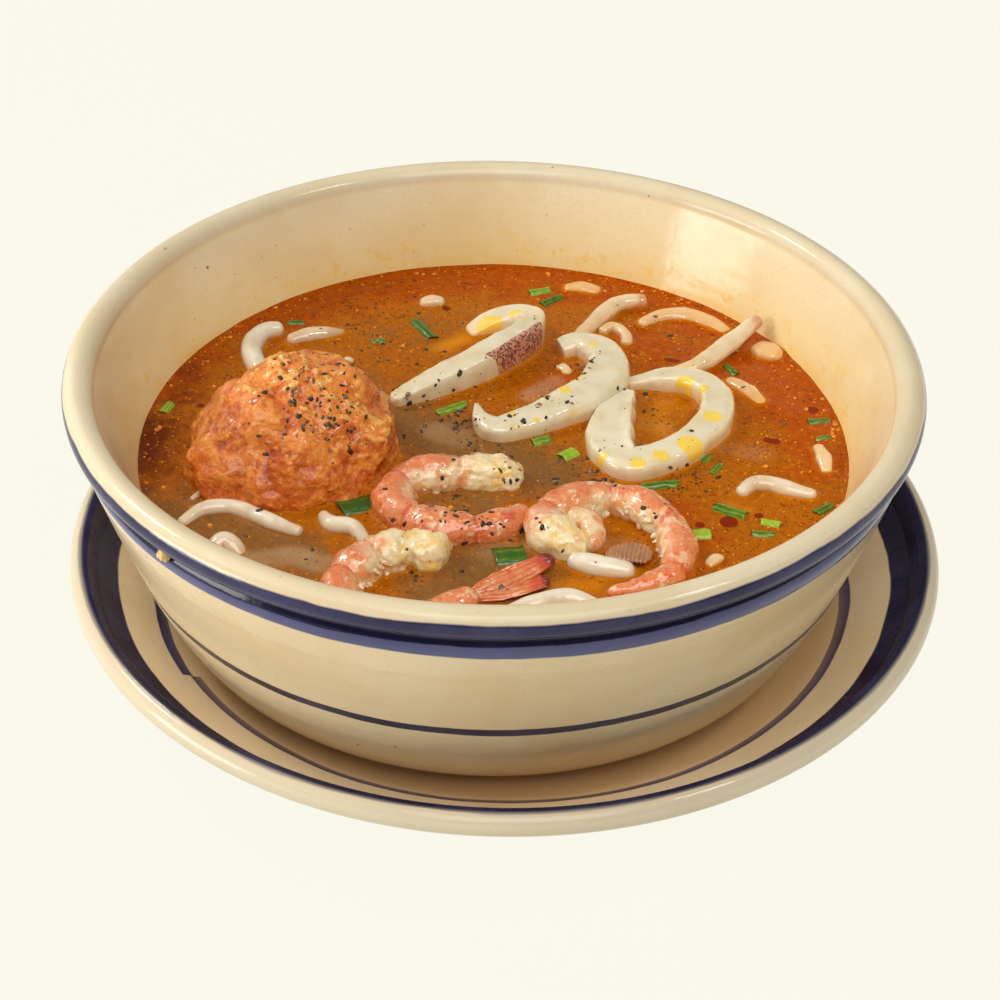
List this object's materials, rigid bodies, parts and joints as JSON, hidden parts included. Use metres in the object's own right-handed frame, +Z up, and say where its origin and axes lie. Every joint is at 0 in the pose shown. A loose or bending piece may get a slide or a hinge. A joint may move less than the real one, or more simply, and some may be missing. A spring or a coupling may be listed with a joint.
{
  "type": "bowl of seafood noodle soup",
  "caption": "Round stoneware bowl of orange seafood noodle soup with squid rings, curled shrimp, a minced ball and thick noodles, standing in a deep matching plate.",
  "frame": {"origin": "centre of the plate's foot, on the surface that it stands on", "axes": "+Z up; +X to the right and +Y away from the side that the picture was taken from"},
  "size_m": [0.212, 0.212, 0.081],
  "materials": {
    "glaze": "glossy cream stoneware glaze with fine brown specks and brushed cobalt blue bands",
    "soup": "wet orange broth, clouded in the middle, with oil drops",
    "meatball": "rough moist minced meat with pepper",
    "squid": "wet ivory squid flesh",
    "shrimp": "wet pink and cream shrimp flesh",
    "shell": "thin glassy shell",
    "noodle": "wet white rice noodle"
  },
  "bodies": {
    "root": {"plate": "glaze", "bowl": "glaze", "soup": "soup", "meatball": "meatball", "squid_loop": "squid", "squid_hook": "squid", "squid_strip": "squid", "squid_shred": "squid", "squid_crescent": "squid", "squid_curl": "squid", "squid_lump_right": "squid", "squid_lump_back": "squid", "squid_bit": "squid", "squid_leaf": "squid", "tentacle_left": "squid", "tentacle_right": "squid", "shrimp_middle": "shrimp", "shrimp_left": "shrimp", "shrimp_front": "shrimp", "shrimp_tail": "shrimp", "shell_flake": "shell", "noodle_crook": "noodle", "noodle_back": "noodle", "noodle_right": "noodle", "noodle_middle": "noodle", "noodle_rim": "noodle", "noodle_arc": "noodle", "noodle_left": "noodle", "noodle_ribbon": "noodle", "noodle_strand": "noodle"}
  },
  "joints": []
}
